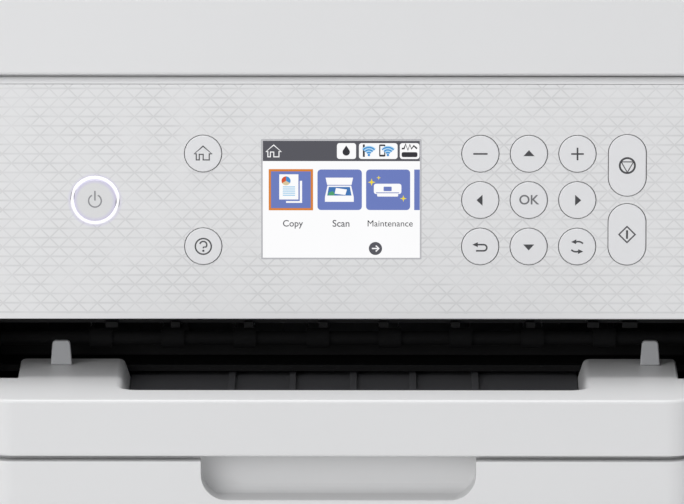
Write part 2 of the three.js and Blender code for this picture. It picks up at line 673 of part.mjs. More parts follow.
// Scanner unit: tub, bezel, glass, guide rod and scan bar
{
  const all = [CORNER_R, CORNER_R, CORNER_R, CORNER_R];
  const t = WALL;
  const inR = CORNER_R - t;
  let tub = toSolid(alongZ(outline(-HALF_W, HALF_W, FRONT_Y, BACK_Y, all), SCAN_Z0, SCAN_Z1, 4, 0.6, 1));
  const well = outline(-HALF_W + t, HALF_W - t, FRONT_Y + t, BACK_Y - 8, [inR, inR, 4, 4]);
  tub = tub.subtract(toSolid(alongZ(well, SCAN_Z0 + 2.5, SCAN_Z1 + 1, 4)));
  const d = GROOVE_DEPTH;
  const lipR = CORNER_R - d;
  const lip = outline(-HALF_W + d, HALF_W - d, FRONT_Y + d, BACK_Y - d, [lipR, lipR, lipR, lipR]);
  const e = d + 1.7;
  lip.holes.push(outline(-HALF_W + e, HALF_W - e, FRONT_Y + e, BACK_Y - e, [6, 6, 6, 6]));
  tub = tub.add(toSolid(alongZ(lip, SCAN_Z0 - 0.95, SCAN_Z0 + 1, 4)));
  for (const x of [-171, 168.5]) {
    tub = tub.add(toSolid(box(x, x + 2.5, 8, 24, SCAN_Z0 + 1, SCAN_Z0 + 13)));
  }
  tub = tub.subtract(toSolid(rodX(-172, 172, 16, 143.5, 3.3)));
  place('scanner_housing', toGeometry(tub), WHITE);

  const frame = outline(
    -HALF_W + t + GAP, HALF_W - t - GAP, FRONT_Y + t + GAP, BACK_Y - 8 - GAP, [inR, inR, 4, 4],
  );
  const window1 = alongZ(outline(-153.3, 153.3, -97.3, 127.3, [1, 1, 1, 1]), 155.8, 160, 2);
  const window2 = alongZ(outline(-149, 149, -93, 123, [1, 1, 1, 1]), 150, 160, 2);
  place('scanner_bezel', shaped(alongZ(frame, 154.5, 158.2, 4), [], [window1, window2]), 0x303033, 0.45);
  place('scanner_glass', alongZ(outline(-153, 153, -97, 127, [1, 1, 1, 1]), 156.05, 158, 2), 0x8fa5a6, 0.05);
  place('scan_rod', rodX(-171.5, 171.5, 16, 143.5, 3), STEEL, 0.2, 1);
  const bar = box(-166, -148, -95, 125, 142, 153);
  const adds = [box(-166, -148, 8, 24, 139.2, 148)];
  const cuts = [rodX(-170, -140, 16, 143.5, 3.4), box(-160, -154, -92, 122, 152, 154)];
  place('scan_bar', shaped(bar, adds, cuts), 0x2a2a2d, 0.5);
}

// Document lid with its foam-backed white mat
{
  const all = [CORNER_R, CORNER_R, 5, 5];
  const lid = alongZ(outline(-HALF_W, HALF_W, FRONT_Y, LID_BACK_Y, all), LID_Z0, LID_Z1, 4, 1.2, 2);
  const inside = outline(-HALF_W + 3, HALF_W - 3, FRONT_Y + 3, LID_BACK_Y - 3, [9, 9, 3, 3]);
  const under = alongZ(inside, LID_Z0 - 1, LID_Z1 - 2.5, 4);
  place('document_lid', shaped(lid, [], [under]), WHITE);
  const mat = outline(-156, 156, -101, 131, [3, 3, 3, 3]);
  place('lid_mat', alongZ(mat, 158.6, LID_Z1 - 2.8, 3), 0xf2f2f3, 0.9);
}

export default root;
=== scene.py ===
import json
import math

import bmesh
import bpy
from mathutils import Matrix, Vector


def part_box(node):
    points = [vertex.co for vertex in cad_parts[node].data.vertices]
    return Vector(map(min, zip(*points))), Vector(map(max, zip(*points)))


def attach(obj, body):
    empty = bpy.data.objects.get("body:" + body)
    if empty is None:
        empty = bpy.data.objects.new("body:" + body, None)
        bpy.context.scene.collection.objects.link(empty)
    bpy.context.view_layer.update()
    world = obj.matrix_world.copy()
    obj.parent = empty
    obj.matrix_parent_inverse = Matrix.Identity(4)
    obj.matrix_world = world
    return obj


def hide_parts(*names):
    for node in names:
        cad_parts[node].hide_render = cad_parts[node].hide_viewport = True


bl_info = {
    "name": "Inkjet printer",
    "version": (1, 0, 0),
    "blender": (4, 5, 0),
    "location": "View3D > Sidebar > Printer",
    "description": "Dresses the packed frame of a three-in-one inkjet printer",
    "category": "Object",
}

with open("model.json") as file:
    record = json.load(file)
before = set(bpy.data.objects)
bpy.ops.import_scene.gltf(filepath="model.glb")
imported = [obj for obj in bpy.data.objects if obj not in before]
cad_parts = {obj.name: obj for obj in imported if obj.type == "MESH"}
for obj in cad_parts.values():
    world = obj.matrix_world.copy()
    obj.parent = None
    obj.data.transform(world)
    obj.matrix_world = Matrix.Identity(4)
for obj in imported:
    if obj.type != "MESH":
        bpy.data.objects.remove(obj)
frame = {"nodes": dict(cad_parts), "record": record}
NODES = frame["nodes"]
BODY_OF = {n: b for b, ns in frame["record"]["behaviour"]["bodies"].items() for n in ns}
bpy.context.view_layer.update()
MM = 0.001
# Lays a flat shape drawn in X and Y onto X and Z, facing -Y
UPRIGHT = Matrix.Rotation(math.radians(90), 4, "X")

ROUND_KEYS = ("home", "help", "minus", "up", "plus", "left", "ok", "right", "back", "down", "swap")
ALL_KEYS = ROUND_KEYS + ("stop", "start", "power")
INKS = ("black", "cyan", "magenta", "yellow")


# ---- settings ----------------------------------------------------------------------------------------------

class PrinterColours(bpy.types.PropertyGroup):
    casing: bpy.props.StringProperty(
        name="Casing", description="sRGB hex of the white moulded casing", default="EAEAEA")
    tray: bpy.props.StringProperty(
        name="Tray", description="sRGB hex of the tray and cassette front", default="E5E5E5")
    film: bpy.props.StringProperty(
        name="Panel film", description="sRGB hex of the printed film", default="EBEBEB")
    film_line: bpy.props.StringProperty(
        name="Film lines", description="sRGB hex of the film's fine lines", default="D9D9D9")
    symbol: bpy.props.StringProperty(
        name="Symbols", description="sRGB hex of the key symbols", default="434346")
    tile: bpy.props.StringProperty(
        name="Screen tiles", description="sRGB hex of the screen's tiles", default="6A7BBD")


class PrinterSizes(bpy.types.PropertyGroup):
    edge: bpy.props.FloatProperty(
        name="Edge rounding", description="Radius broken onto moulded edges", default=0.35 * MM, min=0.0,
        subtype="DISTANCE", unit="LENGTH")
    stroke: bpy.props.FloatProperty(
        name="Symbol stroke", description="Width of the printed symbols' lines", default=0.5 * MM, min=0.0,
        subtype="DISTANCE", unit="LENGTH")
    lattice: bpy.props.FloatProperty(
        name="Film lattice", description="Height of the film's triangles", default=2.92 * MM, min=0.0005,
        subtype="DISTANCE", unit="LENGTH")
    screen_glow: bpy.props.FloatProperty(
        name="Screen glow", description="Brightness of the lit screen", default=1.0, min=0.0)


# ---- materials ---------------------------------------------------------------------------------------------

def linear(code, alpha=1.0):
    """An sRGB hex colour as linear RGBA."""
    parts = [int(code[i:i + 2], 16) / 255 for i in (0, 2, 4)]
    return [c / 12.92 if c <= 0.04045 else ((c + 0.055) / 1.055) ** 2.4 for c in parts] + [alpha]


def add(tree, kind, inputs=None, **settings):
    """Adds a node with its settings, and sets or links its inputs."""
    n = tree.nodes.new(kind)
    for key, value in settings.items():
        setattr(n, key, value)
    for key, value in (inputs or {}).items():
        if isinstance(value, bpy.types.NodeSocket):
            tree.links.new(value, n.inputs[key])
        else:
            n.inputs[key].default_value = value
    return n


def fresh(name):
    """An empty node material with an output."""
    m = bpy.data.materials.new(name)
    m.use_nodes = True
    m.node_tree.nodes.clear()
    return m, m.node_tree


def finished(m, tree, surface, **surface_inputs):
    shader = add(tree, "ShaderNodeBsdfPrincipled", {**surface, **surface_inputs})
    add(tree, "ShaderNodeOutputMaterial", {"Surface": shader.outputs["BSDF"]})
    return m


def moulded(name, code, rough, grain_mm=0.5, depth_um=8.0, tint=0.02, specular=0.45):
    """Injection-moulded plastic from a spark-eroded tool: a fine even pimple that softens reflections, and a
    faint cloudiness of colour from the melt's flow."""
    m, t = fresh(name)
    place = add(t, "ShaderNodeTexCoord").outputs["Object"]
    cloud = add(t, "ShaderNodeTexNoise", {"Vector": place, "Scale": 14.0, "Detail": 2.0})
    base = linear(code)
    low = [c * (1 - tint) for c in base[:3]] + [1.0]
    colour = add(t, "ShaderNodeMix", {0: cloud.outputs["Fac"], 6: low, 7: base}, data_type="RGBA")
    grain = add(t, "ShaderNodeTexNoise", {"Vector": place, "Scale": 1000.0 / grain_mm, "Detail": 3.0,
                                          "Roughness": 0.6})
    sheen = add(t, "ShaderNodeMapRange", {0: grain.outputs["Fac"], 3: rough - 0.05, 4: rough + 0.06})
    bump = add(t, "ShaderNodeBump", {"Height": grain.outputs["Fac"], "Distance": depth_um * 1e-6,
                                     "Strength": 1.0})
    return finished(m, t, {"Base Color": colour.outputs[2], "Roughness": sheen.outputs[0],
                           "Normal": bump.outputs[0], "IOR": 1.53, "Specular IOR Level": specular})


def painted_ring_glow(t, place, colour, near, far, most):
    """Painted light from the power key's ring: the colour turns faintly violet a little way into the plastic
    beside it.
    """
    low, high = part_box("key_power")
    centre = (Vector(low) + Vector(high)) / 2
    away = add(t, "ShaderNodeVectorMath", {0: place, 1: centre}, operation="SUBTRACT").outputs[0]
    flat = add(t, "ShaderNodeVectorMath", {0: away, 1: (1.0, 0.0, 1.0)}, operation="MULTIPLY").outputs[0]
    reach = add(t, "ShaderNodeVectorMath", {0: flat}, operation="LENGTH").outputs["Value"]
    halo = add(t, "ShaderNodeMapRange", {0: reach, 1: near, 2: far, 3: most, 4: 0.0},
               interpolation_type="SMOOTHSTEP").outputs[0]
    return add(t, "ShaderNodeMix", {0: halo, 6: colour, 7: linear("D9D5EC")}, data_type="RGBA").outputs[2]


def power_key(name):
    """Polished key moulding, with the ring's light painted into its colour as a faint violet at its rim."""
    m, t = fresh(name)
    place = add(t, "ShaderNodeTexCoord").outputs["Object"]
    grain = add(t, "ShaderNodeTexNoise", {"Vector": place, "Scale": 2500.0, "Detail": 2.0}).outputs["Fac"]
    low, high = linear("E2E2E2"), linear("E6E6E6")
    base = add(t, "ShaderNodeMix", {0: grain, 6: low, 7: high}, data_type="RGBA").outputs[2]
    # Painted light: the ring's glow, as a faint violet in the key's colour near its rim
    painted_glow_colour = painted_ring_glow(t, place, base, 6.4 * MM, 5.0 * MM, 0.9)
    bump = add(t, "ShaderNodeBump", {"Height": grain, "Distance": 3e-6}).outputs[0]
    return finished(m, t, {"Base Color": painted_glow_colour, "Roughness": 0.34, "Normal": bump, "IOR": 1.53})


def printed_film(name, colours, sizes):
    """Polycarbonate film printed on its back: a lattice of thin lines in three directions, some triangles a
    shade darker, under a semi-gloss face."""
    m, t = fresh(name)
    place = add(t, "ShaderNodeTexCoord").outputs["Object"]
    xyz = add(t, "ShaderNodeSeparateXYZ", {0: place})
    x, z = xyz.outputs[0], xyz.outputs[2]
    h = sizes.lattice
    up = add(t, "ShaderNodeMath", {0: x, 1: z}, operation="ADD").outputs[0]
    down = add(t, "ShaderNodeMath", {0: x, 1: z}, operation="SUBTRACT").outputs[0]
    lines, cells = [], []
    for run, period, width in ((z, h, 0.1 * MM), (up, 2 * h, 0.12 * MM), (down, 2 * h, 0.12 * MM)):
        shifted = add(t, "ShaderNodeMath", {0: run, 1: 0.4}, operation="ADD").outputs[0]
        off = add(t, "ShaderNodeMath", {0: shifted, 1: period / 2}, operation="PINGPONG").outputs[0]
        fade = add(t, "ShaderNodeMapRange", {0: off, 1: width, 2: width + 0.3 * MM, 3: 1.0, 4: 0.0})
        lines.append(fade.outputs[0])
        step = add(t, "ShaderNodeMath", {0: shifted, 1: period}, operation="DIVIDE").outputs[0]
        cells.append(add(t, "ShaderNodeMath", {0: step}, operation="FLOOR").outputs[0])
    both = add(t, "ShaderNodeMath", {0: lines[1], 1: lines[2]}, operation="MAXIMUM").outputs[0]
    mesh = add(t, "ShaderNodeMath", {0: both, 1: lines[0]}, operation="MAXIMUM").outputs[0]
    cell = add(t, "ShaderNodeCombineXYZ", {0: cells[0], 1: cells[1], 2: cells[2]}).outputs[0]
    chance = add(t, "ShaderNodeTexWhiteNoise", {"Vector": cell}, noise_dimensions="3D").outputs["Value"]
    patch = add(t, "ShaderNodeTexNoise", {"Vector": place, "Scale": 90.0, "Detail": 1.0}).outputs["Fac"]
    weight = add(t, "ShaderNodeMapRange", {0: patch, 1: 0.35, 2: 0.65, 3: 0.35, 4: 1.0}).outputs[0]
    mark = add(t, "ShaderNodeMath", {0: mesh, 1: weight}, operation="MULTIPLY").outputs[0]
    shade = add(t, "ShaderNodeMapRange", {0: chance, 3: 0.0, 4: 0.11}).outputs[0]
    amount = add(t, "ShaderNodeMath", {0: mark, 1: shade}, operation="ADD", use_clamp=True).outputs[0]
    ground, line = linear(colours.film), linear(colours.film_line)
    colour = add(t, "ShaderNodeMix", {0: amount, 6: ground, 7: line}, data_type="RGBA").outputs[2]
    # Painted light: near the power key's ring the film's colour turns faintly violet
    lit = painted_ring_glow(t, place, colour, 7.5 * MM, 8.8 * MM, 0.6)
    bump = add(t, "ShaderNodeBump", {"Height": mark, "Distance": 6e-6, "Strength": 0.6})
    return finished(m, t, {"Base Color": lit, "Roughness": 0.4, "Normal": bump.outputs[0], "IOR": 1.58})


def rolled_steel(name, code, rough, along=0):
    """Cold-rolled sheet or drawn rod: fine straight streaks along its length that stretch highlights."""
    m, t = fresh(name)
    place = add(t, "ShaderNodeTexCoord").outputs["Object"]
    scale = [1500.0, 1500.0, 1500.0]
    scale[along] = 12.0
    drawn = add(t, "ShaderNodeMapping", {"Vector": place, "Scale": scale}).outputs[0]
    streak = add(t, "ShaderNodeTexNoise", {"Vector": drawn, "Scale": 1.0, "Detail": 3.0}).outputs["Fac"]
    sheen = add(t, "ShaderNodeMapRange", {0: streak, 3: rough - 0.08, 4: rough + 0.12}).outputs[0]
    base = linear(code)
    low = [c * 0.85 for c in base[:3]] + [1.0]
    colour = add(t, "ShaderNodeMix", {0: streak, 6: low, 7: base}, data_type="RGBA").outputs[2]
    bump = add(t, "ShaderNodeBump", {"Height": streak, "Distance": 4e-6, "Strength": 0.5}).outputs[0]
    return finished(m, t, {"Base Color": colour, "Roughness": sheen, "Metallic": 1.0, "Normal": bump})


def ground_rubber(name, code):
    """Rubber turned and ground to size: matt, with a coarse bite that grips paper."""
    m, t = fresh(name)
    place = add(t, "ShaderNodeTexCoord").outputs["Object"]
    bite = add(t, "ShaderNodeTexVoronoi", {"Vector": place, "Scale": 1800.0}).outputs["Distance"]
    base = linear(code)
    pale = [min(1.0, c * 1.6) for c in base[:3]] + [1.0]
    colour = add(t, "ShaderNodeMix", {0: bite, 6: base, 7: pale}, data_type="RGBA").outputs[2]
    bump = add(t, "ShaderNodeBump", {"Height": bite, "Distance": 3e-5, "Strength": 0.6}).outputs[0]
    return finished(m, t, {"Base Color": colour, "Roughness": 0.82, "Normal": bump,
                           "Specular IOR Level": 0.3})


def circuit_board(name):
    """Glass-fibre board under green solder mask: paler tracks in a grid, and black moulded chips standing
    proud."""
    m, t = fresh(name)
    place = add(t, "ShaderNodeTexCoord").outputs["Object"]
    x = add(t, "ShaderNodeSeparateXYZ", {0: place}).outputs[0]
    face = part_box("main_board")[0][0] + 1.75 * MM
    chip = add(t, "ShaderNodeMath", {0: x, 1: face}, operation="GREATER_THAN").outputs[0]
    quarter = (0.0, math.radians(90), 0.0)
    turned = add(t, "ShaderNodeMapping", {"Vector": place, "Rotation": quarter}).outputs[0]
    track = add(t, "ShaderNodeTexBrick", {
        "Vector": turned, "Scale": 220.0, "Mortar Size": 0.06, "Color1": linear("17612F"),
        "Color2": linear("1B6B36"), "Mortar": linear("2F8A4C")}).outputs["Color"]
    colour = add(t, "ShaderNodeMix", {0: chip, 6: track, 7: linear("151517")}, data_type="RGBA").outputs[2]
    rough = add(t, "ShaderNodeMapRange", {0: chip, 3: 0.3, 4: 0.6}).outputs[0]
    return finished(m, t, {"Base Color": colour, "Roughness": rough, "IOR": 1.55})


def float_glass(name):
    """Float glass: clear, flat, a trace of green in its depth."""
    m, t = fresh(name)
    place = add(t, "ShaderNodeTexCoord").outputs["Object"]
    smear = add(t, "ShaderNodeTexNoise", {"Vector": place, "Scale": 25.0, "Detail": 3.0}).outputs["Fac"]
    rough = add(t, "ShaderNodeMapRange", {0: smear, 3: 0.0, 4: 0.03}).outputs[0]
    return finished(m, t, {"Base Color": linear("E9F5F0"), "Roughness": rough, "IOR": 1.52,
                           "Transmission Weight": 1.0})


def lit(name, code, strength, rough=0.25):
    """A lit surface behind a clear face: it glows in its own colour, a little unevenly from its backlight."""
    m, t = fresh(name)
    place = add(t, "ShaderNodeTexCoord").outputs["Object"]
    even = add(t, "ShaderNodeTexNoise", {"Vector": place, "Scale": 60.0, "Detail": 1.0}).outputs["Fac"]
    base = linear(code)
    low = [c * 0.97 for c in base[:3]] + [1.0]
    glow = add(t, "ShaderNodeMix", {0: even, 6: low, 7: base}, data_type="RGBA").outputs[2]
    return finished(m, t, {"Base Color": linear("0A0A0B"), "Emission Color": glow,
                           "Emission Strength": strength, "Roughness": rough, "Specular IOR Level": 0.2})


def floor_paper(name):
    """Matt background paper: pale, even, hardly any grain."""
    m, t = fresh(name)
    place = add(t, "ShaderNodeTexCoord").outputs["Object"]
    fibre = add(t, "ShaderNodeTexNoise", {"Vector": place, "Scale": 400.0, "Detail": 2.0}).outputs["Fac"]
    low, high = linear("E6E6E6"), linear("ECECEC")
    colour = add(t, "ShaderNodeMix", {0: fibre, 6: low, 7: high}, data_type="RGBA").outputs[2]
    return finished(m, t, {"Base Color": colour, "Roughness": 0.9})


MADE = {}


def material(name):
    """The finish of that name, made once."""
    if name in MADE:
        return MADE[name]
    c, s = bpy.context.scene.printer_colours, bpy.context.scene.printer_sizes
    glow = s.screen_glow
    recipes = {
        "abs_white_moulded": lambda n: moulded(n, c.casing, 0.42),
        "abs_light_grey_moulded": lambda n: moulded(n, c.tray, 0.4),
        "abs_key_polished": lambda n: moulded(n, "EBEBEC", 0.34, 0.4, 3.0, 0.01),
        "polycarbonate_film_printed": lambda n: printed_film(n, c, s),
        "abs_power_key_polished": power_key,
        "abs_black_moulded": lambda n: moulded(n, "080809", 0.55, 0.6, 12.0, 0.2, 0.2),
        "abs_slate_moulded": lambda n: moulded(n, "68686B", 0.5, 0.6, 12.0, 0.06, 0.35),
        "abs_charcoal_moulded": lambda n: moulded(n, "2B2B2E", 0.5, 0.6, 12.0, 0.1, 0.35),
        "pom_grey_moulded": lambda n: moulded(n, "55565A", 0.45, 0.5, 8.0, 0.06),
        # Painted shade: the tabs are white like the tray, but take this darker grey for the panel's shadow
        # over them
        "pom_tab_painted_shade_moulded": lambda n: moulded(n, "B6B7B9", 0.42, 0.5, 6.0, 0.03),
        "pet_mat_white_laminated": lambda n: moulded(n, "F1F1F1", 0.6, 1.2, 15.0, 0.02),
        "epdm_rubber_ground": lambda n: ground_rubber(n, "0D0D0E"),
        "nitrile_foot_moulded": lambda n: ground_rubber(n, "1C1C1E"),
        "steel_sheet_zinc_plated": lambda n: rolled_steel(n, "B4B6B9", 0.34),
        "steel_rod_drawn": lambda n: rolled_steel(n, "C6C8CA", 0.2),
        "steel_can_drawn": lambda n: rolled_steel(n, "A2A4A7", 0.3, 2),
        "fr4_board_masked": circuit_board,
        "float_glass_clear": float_glass,
        "acrylic_ring_lit": lambda n: lit(n, "FBFAFF", 1.08),
        "screen_white_lit": lambda n: lit(n, "FCFCFD", glow),
        "screen_bar_lit": lambda n: lit(n, "54545B", glow),
        "screen_tile_lit": lambda n: lit(n, c.tile, glow),
        "screen_orange_lit": lambda n: lit(n, "D9802F", glow),
        "screen_text_lit": lambda n: lit(n, "5E5E62", glow),
        "screen_glass_lit": lambda n: lit(n, "3F74B4", glow),
        "screen_dark_lit": lambda n: lit(n, "2E2E33", glow),
        "screen_blue_lit": lambda n: lit(n, "3F8FD0", glow),
        "screen_yellow_lit": lambda n: lit(n, "F2DC3C", glow),
        "screen_green_lit": lambda n: lit(n, "4FA06E", glow),
        "screen_red_lit": lambda n: lit(n, "D4502A", glow),
        "screen_beige_lit": lambda n: lit(n, "D8C8A0", glow),
        "screen_sky_lit": lambda n: lit(n, "8FC7E8", glow),
        "screen_pale_lit": lambda n: lit(n, "B8DDF5", glow),
        # Printed inks and the mat's film take the moulding recipe too: an even matt face with a fine grain
        "ink_print_grey": lambda n: moulded(n, c.symbol, 0.5, 0.5, 2.0, 0.03),
        "ink_text_grey": lambda n: moulded(n, "727275", 0.5, 0.5, 2.0, 0.03),
        "ink_pale_grey": lambda n: moulded(n, "8E8E91", 0.5, 0.5, 2.0, 0.03),
        "ink_frame_grey": lambda n: moulded(n, "C2C2C5", 0.5, 0.5, 2.0, 0.03),
        "paper_studio": floor_paper,
    }
    for ink, code in zip(INKS, ("1A1A1C", "1C86B8", "B3226F", "D9B512")):
        recipes[f"pp_ink_{ink}_moulded"] = lambda n, code=code: moulded(n, code, 0.4, 0.5, 6.0, 0.05)
    MADE[name] = recipes[name](name)
    return MADE[name]


# ---- shaping -----------------------------------------------------------------------------------------------

def dress(name, finish):
    """Gives a CAD node its finish."""
    data = NODES[name].data
    data.materials.clear()
    data.materials.append(material(finish))


def piece(name, bm, finishes, body, smooth=30.0):
    """Turns a bmesh into a finished piece that rides on a body."""
    bmesh.ops.recalc_face_normals(bm, faces=bm.faces)
    mesh = bpy.data.meshes.new(name)
    bm.to_mesh(mesh)
    bm.free()
    for finish in finishes:
        mesh.materials.append(material(finish))
    mesh.polygons.foreach_set("use_smooth", [True] * len(mesh.polygons))
    mesh.set_sharp_from_angle(angle=math.radians(smooth))
    obj = bpy.data.objects.new(name, mesh)
    bpy.context.scene.collection.objects.link(obj)
    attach(obj, body)
    return obj


def rounded_copy(node, finish, width=None, segments=2):
    """A CAD node's shape with clean flats and its sharp edges broken, in place of the node."""
    width = bpy.context.scene.printer_sizes.edge if width is None else width
    bm = bmesh.new()
    bm.from_mesh(NODES[node].data)
    bmesh.ops.remove_doubles(bm, verts=bm.verts, dist=2e-6)
    bmesh.ops.dissolve_degenerate(bm, dist=2e-6, edges=bm.edges)
    bmesh.ops.dissolve_limit(bm, angle_limit=math.radians(1), verts=bm.verts, edges=bm.edges,
                             delimit={"NORMAL"})
    sharp = [e for e in bm.edges if len(e.link_faces) == 2 and e.calc_face_angle(0) > math.radians(35)]
    bmesh.ops.bevel(bm, geom=sharp, offset=width, offset_type="OFFSET", segments=segments, profile=0.5,
                    affect="EDGES", material=-1, clamp_overlap=True, harden_normals=False)
    obj = piece(f"{node}_moulding", bm, [finish], BODY_OF[node], 40.0)
    steady = obj.modifiers.new("flats", "WEIGHTED_NORMAL")
    steady.keep_sharp = True
    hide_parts(node)
    return obj


class Flat:
    """Thin printed or lit shapes laid on a face that looks towards -Y, in millimetres across X and Z."""

    def __init__(self, face_y):
        self.bm = bmesh.new()
        self.face_y = face_y
        self.finishes = []

    def _stamp(self, faces, finish, lift, thick):
        if finish not in self.finishes:
            self.finishes.append(finish)
        for f in faces:
            f.material_index = self.finishes.index(finish)
        verts = list({v for f in faces for v in f.verts})
        bmesh.ops.scale(self.bm, vec=(MM, MM, MM), verts=verts)
        bmesh.ops.transform(self.bm, matrix=UPRIGHT, verts=verts)
        bmesh.ops.translate(self.bm, vec=(0, self.face_y - lift * MM, 0), verts=verts)
        grown = bmesh.ops.extrude_face_region(self.bm, geom=faces)["geom"]
        top = [g for g in grown if isinstance(g, bmesh.types.BMVert)]
        bmesh.ops.translate(self.bm, vec=(0, -thick * MM, 0), verts=top)

    def rect(self, x0, x1, z0, z1, finish, lift=0.0, thick=0.03, corner=0.0, turn=0.0):
        verts = bmesh.ops.create_grid(self.bm, x_segments=1, y_segments=1, size=0.5)["verts"]
        bmesh.ops.scale(self.bm, vec=(x1 - x0, z1 - z0, 1), verts=verts)
        if turn:
            bmesh.ops.rotate(self.bm, matrix=Matrix.Rotation(math.radians(turn), 3, "Z"), verts=verts)
        bmesh.ops.translate(self.bm, vec=((x0 + x1) / 2, (z0 + z1) / 2, 0), verts=verts)
        faces = list({f for v in verts for f in v.link_faces})
        if corner:
            before = set(self.bm.faces) - set(faces)
            bmesh.ops.bevel(self.bm, geom=verts, offset=corner, segments=4, profile=0.5, affect="VERTICES",
                            material=-1)
            faces = [f for f in self.bm.faces if f not in before]
        self._stamp(faces, finish, lift, thick)

    def disc(self, x, z, r, finish, lift=0.0, thick=0.03, sides=32):
        verts = bmesh.ops.create_circle(self.bm, cap_ends=True, segments=sides, radius=r)["verts"]
        bmesh.ops.translate(self.bm, vec=(x, z, 0), verts=verts)
        self._stamp(list({f for v in verts for f in v.link_faces}), finish, lift, thick)

    def poly(self, points, finish, lift=0.0, thick=0.03):
        verts = [self.bm.verts.new((x, z, 0)) for x, z in points]
        face = bmesh.ops.contextual_create(self.bm, geom=verts)["faces"][0]
        face.normal_update()
        if face.normal.z < 0:
            face.normal_flip()
        self._stamp([face], finish, lift, thick)

    def band(self, loops, width, finish, lift=0.0, flat=0.2):
        """Lines of one width along open or closed runs of points: [(points, closed), ...]."""
        if finish not in self.finishes:
            self.finishes.append(finish)
        curve = bpy.data.curves.new("run", "CURVE")
        curve.dimensions = "3D"
        curve.bevel_depth = width / 2
        curve.bevel_resolution = 1
        curve.use_fill_caps = True
        for points, closed in loops:
            spline = curve.splines.new("POLY")
            spline.points.add(len(points) - 1)
            for p, (x, z) in zip(spline.points, points):
                p.co = (x, z, 0, 1)
            spline.use_cyclic_u = closed
        self._take(curve, finish, lift, flat)

    def words(self, text, x, z, size, finish, lift=0.0, weight=0.0):
        curve = bpy.data.curves.new("words", "FONT")
        curve.body = text
        curve.size = size
        curve.align_x = "CENTER"
        curve.align_y = "CENTER"
        curve.extrude = 0.015
        curve.offset = weight
        if finish not in self.finishes:
            self.finishes.append(finish)
        self._take(curve, finish, lift + 0.015, 1.0, (x, z))

    def _take(self, curve, finish, lift, flat, at=(0.0, 0.0)):
        holder = bpy.data.objects.new("run", curve)
        mesh = bpy.data.meshes.new_from_object(holder)
        mesh.transform(Matrix.Translation((at[0], at[1], 0)) @ Matrix.Diagonal((1, 1, flat, 1)))
        onto_face = Matrix.Translation((0, self.face_y - lift * MM, 0))
        mesh.transform(onto_face @ UPRIGHT @ Matrix.Diagonal((MM, MM, MM, 1)))
        before = len(self.bm.faces)
        self.bm.from_mesh(mesh)
        self.bm.faces.ensure_lookup_table()
        for f in self.bm.faces[before:]:
            f.material_index = self.finishes.index(finish)
        bpy.data.objects.remove(holder)
        bpy.data.curves.remove(curve)
        bpy.data.meshes.remove(mesh)

    def done(self, name, body):
        bmesh.ops.remove_doubles(self.bm, verts=self.bm.verts, dist=1e-7)
        return piece(name, self.bm, self.finishes, body)


def arc(x, z, r, start, end, steps=24):
    """Points along part of a circle, with angles in degrees."""
    turn = [math.radians(start + (end - start) * i / steps) for i in range(steps + 1)]
    return [(x + r * math.cos(a), z + r * math.sin(a)) for a in turn]


def middle(node):
    """Centre of a node across X and Z, in millimetres, and its front face's Y in metres."""
    low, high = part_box(node)
    return (low[0] + high[0]) / 2 / MM, (low[2] + high[2]) / 2 / MM, low[1]


# ---- operators ---------------------------------------------------------------------------------------------

class PRINTER_OT_stage(bpy.types.Operator):
    """Adds the camera, the pale floor and the soft studio light"""
    bl_idname = "printer.stage"
    bl_label = "Camera, floor and light"

    def execute(self, context):
        scene = context.scene
        camera = bpy.data.cameras.new("camera")
        camera.sensor_width = 36.0
        camera.lens = 539.5
        camera.clip_start = 0.05
        camera.clip_end = 60.0
        eye = bpy.data.objects.new("camera", camera)
        scene.collection.objects.link(eye)
        aim = Vector((-14.83 * MM, -132 * MM, 80.3 * MM))
        tilt, swing = math.radians(10.2), math.radians(0.268)
        look = Vector((-math.sin(swing) * math.cos(tilt), math.cos(swing) * math.cos(tilt), -math.sin(tilt)))
        eye.location = aim - 3.1665 * look
        eye.rotation_euler = look.to_track_quat("-Z", "Y").to_euler()
        scene.camera = eye
        bm = bmesh.new()
        bmesh.ops.create_grid(bm, x_segments=1, y_segments=1, size=4.0)
        bmesh.ops.translate(bm, vec=(0, 0, -0.0002), verts=bm.verts)
        mesh = bpy.data.meshes.new("studio_floor")
        bm.to_mesh(mesh)
        bm.free()
        mesh.materials.append(material("paper_studio"))
        floor = bpy.data.objects.new("studio_floor", mesh)
        scene.collection.objects.link(floor)
        world = bpy.data.worlds.new("studio")
        world.use_nodes = True
        sky = world.node_tree.nodes["Background"]
        sky.inputs["Color"].default_value = linear("F5F6F9")
        sky.inputs["Strength"].default_value = 0.5
        scene.world = world
        for name, place, size, power in (
                ("front_left_softbox", (-1.3, -2.1, 0.85), 1.6, 20.4),
                ("overhead_softbox", (-0.1, -0.15, 2.0), 0.8, 17.6)):
            lamp = bpy.data.lights.new(name, "AREA")
            lamp.shape = "SQUARE"
            lamp.size = size
            lamp.energy = power
            holder = bpy.data.objects.new(name, lamp)
            holder.location = place
            towards = Vector((0, -0.1, 0.08)) - Vector(place)
            holder.rotation_euler = towards.to_track_quat("-Z", "Y").to_euler()
            scene.collection.objects.link(holder)
        scene.view_settings.view_transform = "Standard"
        return {"FINISHED"}


class PRINTER_OT_casing(bpy.types.Operator):
    """Rounds and finishes the white casing, covers and lid"""
    bl_idname = "printer.casing"
    bl_label = "Casing"

    def execute(self, context):
        for node in ("lower_housing", "front_cover_left", "front_cover_right", "rear_access_cover",
                     "scanner_housing", "document_lid"):
            rounded_copy(node, "abs_white_moulded")
        rounded_copy("panel_housing", "abs_white_moulded", 0.25 * MM)
        for node in ("foot_front_left", "foot_front_right", "foot_rear_left", "foot_rear_right"):
            rounded_copy(node, "nitrile_foot_moulded", 0.6 * MM, 3)
        return {"FINISHED"}


